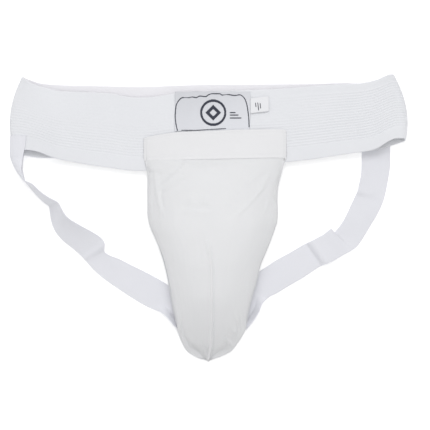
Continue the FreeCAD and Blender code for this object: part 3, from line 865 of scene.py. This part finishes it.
def make_dart_seam(outer):
    """Piped ridge down the middle, with a sunk stitch line beside it."""
    y = np.linspace(-27.0, -145.6, 150)
    x = dart_middle(y)
    z = np.array([height_at(outer, (a - RIDGE_SIDE, b)) for a, b in zip(x, y)])
    fade = np.clip((DART_TOP - y) / 30.0, 0.0, 1.0)
    ridge = np.stack([x - RIDGE_SIDE, y, z - 1.1 + 0.4 * fade], axis=1)
    seam = tube_object("pouch_dart_ridge", [ridge], RIDGE_RADIUS, 12, 0.8)
    # The ridge wears the lighter hem knit: a painted highlight along the ridge
    finish_piece(seam, "pouch_knit", "pouch_dart_seam", look="hem_knit")
    flatten(seam)
    line = np.stack([x + GROOVE_SIDE, y, z - 1.15], axis=1)
    stitches = []
    for k in range(4, 144, 3):
        stitch = line[k:k + 3].copy()
        stitch[1, 2] += 0.2
        stitches.append(stitch)
    flatten(thread_piece("pouch_dart_stitches", stitches, THREAD_RADIUS))


def pouch_outline(side, grow):
    """Edge of the pouch in plan from the hem down to the tip."""
    y = np.linspace(58.0, POUCH_ROWS[-1][0] + 0.4, 200)
    shape = pouch_rows_at(y)
    x = shape[:, 0] - grow if side < 0 else shape[:, 1] + grow
    return np.stack([x, y, base_height(y)], axis=1)


def seam_allowance(side):
    """Middle face of a side seam's allowance, and its lengths along and across."""
    outside = pouch_outline(side, 0.1)
    inside = pouch_outline(side, 0.1 - ALLOWANCE)
    outside[:, 2] += 0.35
    inside[:, 2] += 1.5
    t = np.linspace(0.0, 1.0, 9)
    grid = inside[:, None] + (outside - inside)[:, None] * t[None, :, None]
    grid[..., 2] += 0.35 * np.sin(math.pi * t)[None, :]
    at = lengths(outside)
    grid[..., 2] += 0.12 * np.sin(at / 1.9)[:, None]
    return grid, at, t * ALLOWANCE


def overlock_stitches(grid, at):
    """Threads that cross the allowance from its outer edge and step along it."""
    stitches = []
    for place in np.arange(2.0, at[-1] - 2.0, OVERLOCK_PITCH):
        k = int(np.searchsorted(at, place))
        ahead = min(k + 3, len(at) - 1)
        stitches.append([
            grid[k, -1] + (0, 0, -0.3), grid[k, 6] + (0, 0, 0.55),
            0.5 * (grid[k, 3] + grid[ahead, 3]) + (0, 0, 0.6), grid[ahead, 1] + (0, 0, 0.45),
        ])
    return stitches


def make_side_seams():
    """Overlocked seams where the pouch front meets its lining."""
    for side, name in ((-1, "left"), (1, "right")):
        grid, at, across = seam_allowance(side)
        faces = thickened(grid, 0.45 * edge_round(across, ALLOWANCE, 0.8))
        flange = sheet_object("pouch_side_seam_allowance_" + name, *faces, at, across)
        finish_piece(flange, "pouch_knit", "pouch_side_seam_" + name)
        thread_piece("side_seam_overlock_" + name, overlock_stitches(grid, at), 0.17, sides=5)


def hem_surface(angle, t, outer):
    """Points of the hem's middle face over its arch (angle) and up its height (t)."""
    rows = np.array(HEM_ROWS)
    left, right = rows[0, 0], rows[-1, 0]
    middle, half = 0.5 * (left + right), 0.5 * (right - left)
    sideways, upwards = arch(angle, HEM_POWER)
    x = middle + half * sideways
    edges = curve_through(rows[:, 0], rows[:, 1:], x)
    y = edges[:, :1] + (edges[:, 1:] - edges[:, :1]) * t[None, :]
    free = HEM_REST_Z + HEM_TOP_RISE * upwards[:, None]
    on_pouch = np.array([height_at(outer, place) for place in zip(x, edges[:, 0])])[:, None]
    proud = -0.5 + 0.95 / (1.0 + np.exp(-(x + 30.0) / 4.0))[:, None]
    lower = np.maximum(on_pouch + proud, HEM_REST_Z + 0.2)
    settle = (1.0 - t[None, :]) ** 1.6
    z = free * (1.0 - settle) + lower * settle
    end = np.clip(1.0 - np.minimum(x - left, right - x) / 3.0, 0.0, 1.0)
    z = z - 0.8 * end[:, None]
    grid = stacked(x[:, None], y, z)
    grid[..., 2] += 0.22 * np.sin(grid[..., 0] / 8.0 + 1.0) * np.sin(math.pi * t)[None, :]
    return grid


def make_hem(outer):
    """Doubled hem of the pocket's mouth, pinched along its two seams."""
    across = np.array([0, 0.15, 0.4, 0.8, 1.4, 2.2, 3, 4, 6, 8, 10, 12, 14, 16, 18, 20, 22, 23.5,
                       24.5, 25.4, 26.2, 26.9, 27.4, 27.75, HEM_WIDTH])
    t = across / HEM_WIDTH
    half_way = len(across) // 2
    middle = hem_surface(HEM_ANGLES, t, outer)
    normal = grid_normals(middle)
    normal *= np.sign(normal[len(HEM_ANGLES) // 2, half_way, 2])
    half = (0.45 + 0.3 * t) * edge_round(across, HEM_WIDTH, 1.1)
    for seam in HEM_SEAMS:
        half = half - 0.3 * np.exp(-((across - seam) / 0.7) ** 2)
    puff = half[None, :, None]
    at = lengths(middle[:, half_way])
    piece = sheet_object("pouch_hem_cloth", middle + normal * puff, middle - normal * puff, at, across)
    finish_piece(piece, "hem_knit", "pouch_hem_band")
    flatten(piece)


def make_hem_threads(outer):
    """Rows of short stitches sunk along the hem's two seams."""
    stitches = []
    for seam in HEM_SEAMS:
        t = seam / HEM_WIDTH
        line = hem_surface(HEM_ANGLES, np.array([t]), outer)[:, 0]
        at = lengths(line)
        top = 0.2 + 0.3 * t
        for place in np.arange(3.0, at[-1] - 4.0, HEM_STITCH_PITCH):
            points = []
            for step, lift in ((0.0, 0.0), (0.9, top), (1.7, top), (2.5, 0.0)):
                points.append([np.interp(place + step, at, line[:, axis]) for axis in range(3)])
                points[-1][2] += lift
            stitches.append(points)
    flatten(thread_piece("hem_stitch_threads", stitches, 0.2, "hem_stitching"))


def make_lining():
    """Back panel of the pocket, from its tip to the tab sewn to the waistband."""
    y = np.concatenate([np.linspace(80.0, -120.0, 130), np.linspace(-121.5, -148.2, 26)])
    shape = pouch_rows_at(np.clip(y, POUCH_ROWS[-1][0], 60.0))
    past = np.clip(POUCH_ROWS[-1][0] - y, 0.0, 2.0)
    left = shape[:, 0] - 0.1 + past * 1.2
    right = shape[:, 1] + 0.1 - past * 1.2
    t = np.linspace(0.0, 1.0, 61)
    x = left[:, None] + (right - left)[:, None] * t[None, :]
    top = np.minimum(base_height(y) - 0.3, 10.25)
    grid = stacked(x, y[:, None], top[:, None] - 0.3)
    grid[..., 2] -= 0.12 * np.abs(ripple(grid, 1.0)) * (y < 50)[:, None]
    piece = sheet_object("pouch_lining_cloth", *thickened(grid, 0.28), y[0] - y, t * LINING_WIDTH)
    finish_piece(piece, "lining_knit", "pouch_back_panel")


def make_band_threads():
    """Rows of stitching that hold the pocket and its lining to the waistband."""
    top = 10.6
    stitches = []
    for x in np.arange(-62.0, 74.0, 3.2):
        for y in (63.0, 78.0):
            stitches.append([(x, y, top - 0.25), (x + 1.1, y + 0.1, top), (x + 2.2, y, top - 0.25)])
    for x in (-66.9, 79.4):
        for y in np.arange(60.0, 80.0, 3.0):
            stitches.append([(x, y, top - 0.3), (x, y + 1.0, top), (x, y + 2.0, top - 0.3)])
    thread_piece("pocket_to_band_threads", stitches, THREAD_RADIUS, "pouch_to_band_stitching")


# ---- label and tag ----

# Dark outline of the label in plan, and its lower line
LABEL_OUTLINE = [
    (-32.2, 88.8), (-33.6, 95), (-34.5, 103.8), (-33.6, 114), (-31.2, 119.2), (-26.7, 122.6),
    (-20.9, 122.5), (-17, 123.3), (-13.1, 122.6), (-9.3, 124.2), (-3.5, 123.6), (-0.3, 125.5),
    (3.6, 126.6), (11.3, 126.6), (13.3, 125.2), (19, 125.7), (26.8, 124.8), (31.3, 125.5),
    (35, 123.4), (37.7, 119), (39.7, 110.2), (40.9, 98), (41, 91.8),
]
LABEL_BASE_LINE = [(-28, 89.2), (-16, 89.2), (0, 90), (17.7, 91)]


def label_height(x, y, lift):
    """Place on the gently puckered label, raised by lift."""
    wave_height = 0.28 * math.sin(x / 5.2 + y / 9.0) + 0.2 * math.sin(x / 2.9 - y / 7.0 + 1.0)
    top = math.exp(-((y - 124.0) / 5.0) ** 2) * 0.3 * math.sin(x / 2.1)
    calm = 0.7 if x < 20.0 else 0.25
    return x, y, BAND_TOP + LABEL_RISE + (wave_height + top) * calm + lift


def make_label():
    xs = np.linspace(LABEL_LEFT, LABEL_RIGHT, 121)
    vs = np.linspace(0.0, 1.0, 67)
    grid = []
    for x in xs:
        low = 88.0 + 1.4 * (x + 35.0) / 77.0
        high = 128.4 + 0.7 * math.sin((x + 36.0) / 26.0) + 0.2 * math.sin(x / 3.0)
        grid.append([label_height(x, low + (high - low) * v, 0.0) for v in vs])
    grid = np.array(grid)
    grid[..., 0] += 0.5 * np.sin(math.pi * (vs[None, :] - 0.2))
    piece = sheet_object("label_patch", *thickened(grid, LABEL_HALF), xs - xs[0], vs * LABEL_HEIGHT)
    finish_piece(piece, "label_cloth", "front_label")


def satin_stitches(line, half_width, rng):
    """Close cross stitches along a line."""
    keys = lengths(line)
    at = np.arange(0.0, keys[-1], 0.4)
    smooth = curve_through(keys, line, at)
    stitches = []
    for k in range(len(at) - 1):
        ahead = smooth[k + 1] - smooth[k]
        ahead /= max(np.linalg.norm(ahead), 1e-6)
        side = np.array([-ahead[1], ahead[0], 0.0]) * half_width * (0.9 + 0.2 * rng.random())
        stitches.append([
            smooth[k] + side - (0, 0, 0.1), smooth[k] + side * 0.3 + (0, 0, 0.08),
            smooth[k] - side * 0.3 + (0, 0, 0.08), smooth[k] - side - (0, 0, 0.1),
        ])
    return stitches


def make_label_border():
    """Dark woven outline of the label, open at its lower corners."""
    rng = np.random.default_rng(7)
    stitches = []
    for path, half_width in ((LABEL_OUTLINE, 0.6), (LABEL_BASE_LINE, 0.42)):
        line = np.array([label_height(x, y, 0.24) for x, y in path])
        stitches += satin_stitches(line, half_width, rng)
    border = tube_object("label_border_stitches", stitches, 0.24, flat=0.6)
    finish_piece(border, "label_print", "label_border")


def in_emblem(x, y):
    """Generic mark: a ring round a diamond, and three short bars beside it."""
    beside = abs(x - EMBLEM_CENTRE[0])
    above = abs(y - EMBLEM_CENTRE[1])
    if 11.0 < math.hypot(beside, above) < 13.6:
        return True
    if 3.6 < beside + above < 8.2:
        return True
    for k in range(3):
        low = BAR_LOW + BAR_PITCH * k
        if low < y < low + 1.1 and 21.0 < x < 33.5 - 3.0 * k:
            return True
    return False


def runs_in_emblem(xs, y):
    """Start and end of each stretch of a row that lies in the mark."""
    runs = []
    start = None
    for k in range(len(xs) + 1):
        on = k < len(xs) and in_emblem(xs[k], y)
        if on and start is None:
            start = k
        if not on and start is not None:
            runs.append((xs[start], xs[k - 1]))
            start = None
    return runs


def make_emblem():
    """Embroidered mark: rows of raised threads wherever the mark is."""
    left, right, bottom, top = EMBLEM_BOX
    xs = np.arange(left, right, SAMPLE_STEP)
    threads = []
    for y in np.arange(bottom, top, EMBLEM_PITCH):
        for a, b in runs_in_emblem(xs, y):
            if b - a > 0.5:
                steps = max(3, int((b - a) / 1.2) + 2)
                threads.append([label_height(a + (b - a) * n / (steps - 1), y, 0.3)
                                for n in range(steps)])
    mark = tube_object("label_emblem_stitches", threads, 0.5 * EMBLEM_PITCH + 0.06, flat=0.7)
    finish_piece(mark, "label_print", "label_emblem")


def tag_point(u, v):
    """Folded ribbon: u along it from the sewn end, v across it."""
    x = TAG_LOW[0] + TAG_LENGTH * u
    y = TAG_LOW[1] - 0.6 + TAG_WIDTH * v + 2.2 * u
    z = TAG_LOW[2] + 0.18 + 0.35 * u ** 1.5 + 0.12 * math.sin(v * 5.0) * u
    return x, y, z


def make_tag():
    us = np.linspace(0.0, 1.0, 41)
    vs = np.linspace(0.0, 1.0, 31)
    lower = np.array([[tag_point(u, v) for v in vs] for u in us])
    upper = lower.copy()
    upper[..., 2] += TAG_PUFF * np.sin(math.pi * np.clip(us, 0.04, 0.93) ** 0.8)[:, None] + 0.1
    for name, grid in (("size_tag_under", lower), ("size_tag_upper", upper)):
        piece = sheet_object(name, *thickened(grid, 0.07), us * TAG_LENGTH, vs * TAG_WIDTH)
        finish_piece(piece, "satin", "size_tag", body="tag")


def make_tag_mark():
    """Three plain strokes printed on the tag."""
    lines = []
    for u, start, end in ((0.30, 0.36, 0.66), (0.42, 0.12, 0.66), (0.54, 0.24, 0.60)):
        line = np.array([tag_point(u - 0.10 * (v - 0.4), v) for v in np.linspace(start, end, 12)])
        line[:, 2] += TAG_PUFF * math.sin(math.pi * u ** 0.8) + 0.2
        lines.append(line)
    mark = tube_object("size_tag_mark", lines, 0.42, flat=0.35)
    finish_piece(mark, "tag_print", "size_mark", body="tag")


# ---- tacks, joint tape and cup ----

def tack_lines(centre, way, width, rows, pitch=0.9, reach=1.3):
    """Dense zigzag of a bar tack, laid across a strap that runs the given way."""
    direction = np.array([way[0], way[1], 0.0])
    direction /= np.linalg.norm(direction)
    side = np.array([-direction[1], direction[0], 0.0])
    lines = []
    for row in rows:
        count = int(width / pitch)
        points = []
        for k in range(count + 1):
            across = (k / count - 0.5) * width
            swing = reach * (1 if k % 2 else -1)
            points.append(np.array(centre) + side * across + direction * (row + swing))
        lines.append(points)
    return lines


def make_tacks():
    spots = {
        "strap_tack_upper_left": ((-182.5, 80.0, 4.1), (0, 1), 18.0, (-5.0, 5.0)),
        "strap_tack_upper_right": ((171.5, 78.0, 4.0), (0, 1), 22.0, (-5.0, 5.0)),
        "strap_tack_lower_left": ((-27.4, -99.2, 1.62), (1.0, -1.15), 22.0, (-2.0, 2.5)),
        "strap_tack_lower_right": ((29.5, -103.4, 1.62), (-1.0, -1.15), 22.0, (-2.0, 2.5)),
    }
    for name, (centre, way, width, rows) in spots.items():
        thread_piece(name + "_thread", tack_lines(centre, way, width, rows), 0.26, name)


def make_joint_tape():
    """Twill tape over the waistband's own join, inside at the back."""
    xs = np.linspace(-9.8, 9.8, 41)
    ys = np.linspace(64.0, 128.0, 81)
    x, y = np.meshgrid(xs, ys, indexing="ij")
    z = 2.05 + 0.10 * np.sin(y / 3.1) * np.exp(-((np.abs(x) - 8.6) / 1.5) ** 2)
    faces = thickened(stacked(x, y, z), 0.22)
    piece = sheet_object("joint_tape_twill", *faces, xs - xs[0], ys - ys[0])
    finish_piece(piece, "twill_tape", "waistband_joint_tape")
    lines = []
    for x in (-7.4, 7.4):
        lines += tack_lines((x, 96.5, 2.5), (1, 0), 60.0, (0.0,), 1.6, 0.8)
    thread_piece("joint_tape_zigzag", lines, THREAD_RADIUS, "waistband_joint_stitching")


def dress_cup():
    """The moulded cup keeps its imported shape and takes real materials."""
    for node, slot in (("cup_shell", "cup_plastic"), ("cup_cushion", "cushion_rubber")):
        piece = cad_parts[node]
        piece.data.materials.clear()
        piece.data.materials.append(MATERIALS[slot])


# ---- camera, lights and floor ----

CAMERA_HEIGHT = 1400.0
VIEW_CENTRE = (6.2, 2.6)
FIELD_WIDTH = 442.9
SENSOR = 36.0
FLOOR_REACH = 4000.0
FLOOR_Z = -0.05
WHITE = (1.0, 1.0, 1.0, 1.0)


def make_camera():
    """Camera straight above, a little off the middle."""
    data = bpy.data.cameras.new("camera")
    data.sensor_width = SENSOR
    data.lens = SENSOR * CAMERA_HEIGHT / FIELD_WIDTH
    camera = add_object("camera", data)
    camera.location = (VIEW_CENTRE[0] * MM, VIEW_CENTRE[1] * MM, CAMERA_HEIGHT * MM)
    bpy.context.scene.camera = camera


def area_light(name, place, power, size):
    """Round soft light towards the object; place and size are in metres."""
    data = bpy.data.lights.new(name, "AREA")
    data.energy = power
    data.shape = "DISK"
    data.size = size
    light = add_object(name, data)
    light.location = place
    light.rotation_euler = (-Vector(place)).to_track_quat("-Z", "Y").to_euler()


def make_stage():
    """Pale floor and even white surroundings."""
    material, _, shader = new_material("pale_floor")
    shader.inputs["Base Color"].default_value = (0.9, 0.9, 0.9, 1.0)
    shader.inputs["Roughness"].default_value = 0.9
    shader.inputs["Emission Color"].default_value = WHITE
    shader.inputs["Emission Strength"].default_value = 0.3
    square = [(0, 0), (1, 0), (1, 1), (0, 1)]
    corners = [((2 * u - 1) * FLOOR_REACH, (2 * v - 1) * FLOOR_REACH, FLOOR_Z) for u, v in square]
    floor = make_object("floor", corners, [[0, 1, 2, 3]], square)
    floor.data.materials.append(material)
    world = bpy.data.worlds.new("studio")
    world.use_nodes = True
    background = world.node_tree.nodes["Background"]
    background.inputs["Color"].default_value = WHITE
    background.inputs["Strength"].default_value = 0.6
    bpy.context.scene.world = world
    bpy.context.scene.view_settings.view_transform = "Standard"


def make_lights():
    area_light("key", (-0.1, 1.3, 2.0), 16.0, 1.2)
    area_light("top", (0.2, -0.1, 2.4), 11.6, 2.0)


def main():
    make_camera()
    make_stage()
    make_lights()
    make_waistband()
    make_strap("left", LEFT_STRAP_ROWS)
    make_strap("right", RIGHT_STRAP_ROWS)
    outer, normal = pouch_surface()
    make_pouch(outer, normal)
    make_dart_seam(outer)
    make_side_seams()
    make_hem(outer)
    make_hem_threads(outer)
    make_lining()
    make_band_threads()
    make_label()
    make_label_border()
    make_emblem()
    make_tag()
    make_tag_mark()
    make_tacks()
    make_joint_tape()
    dress_cup()


main()
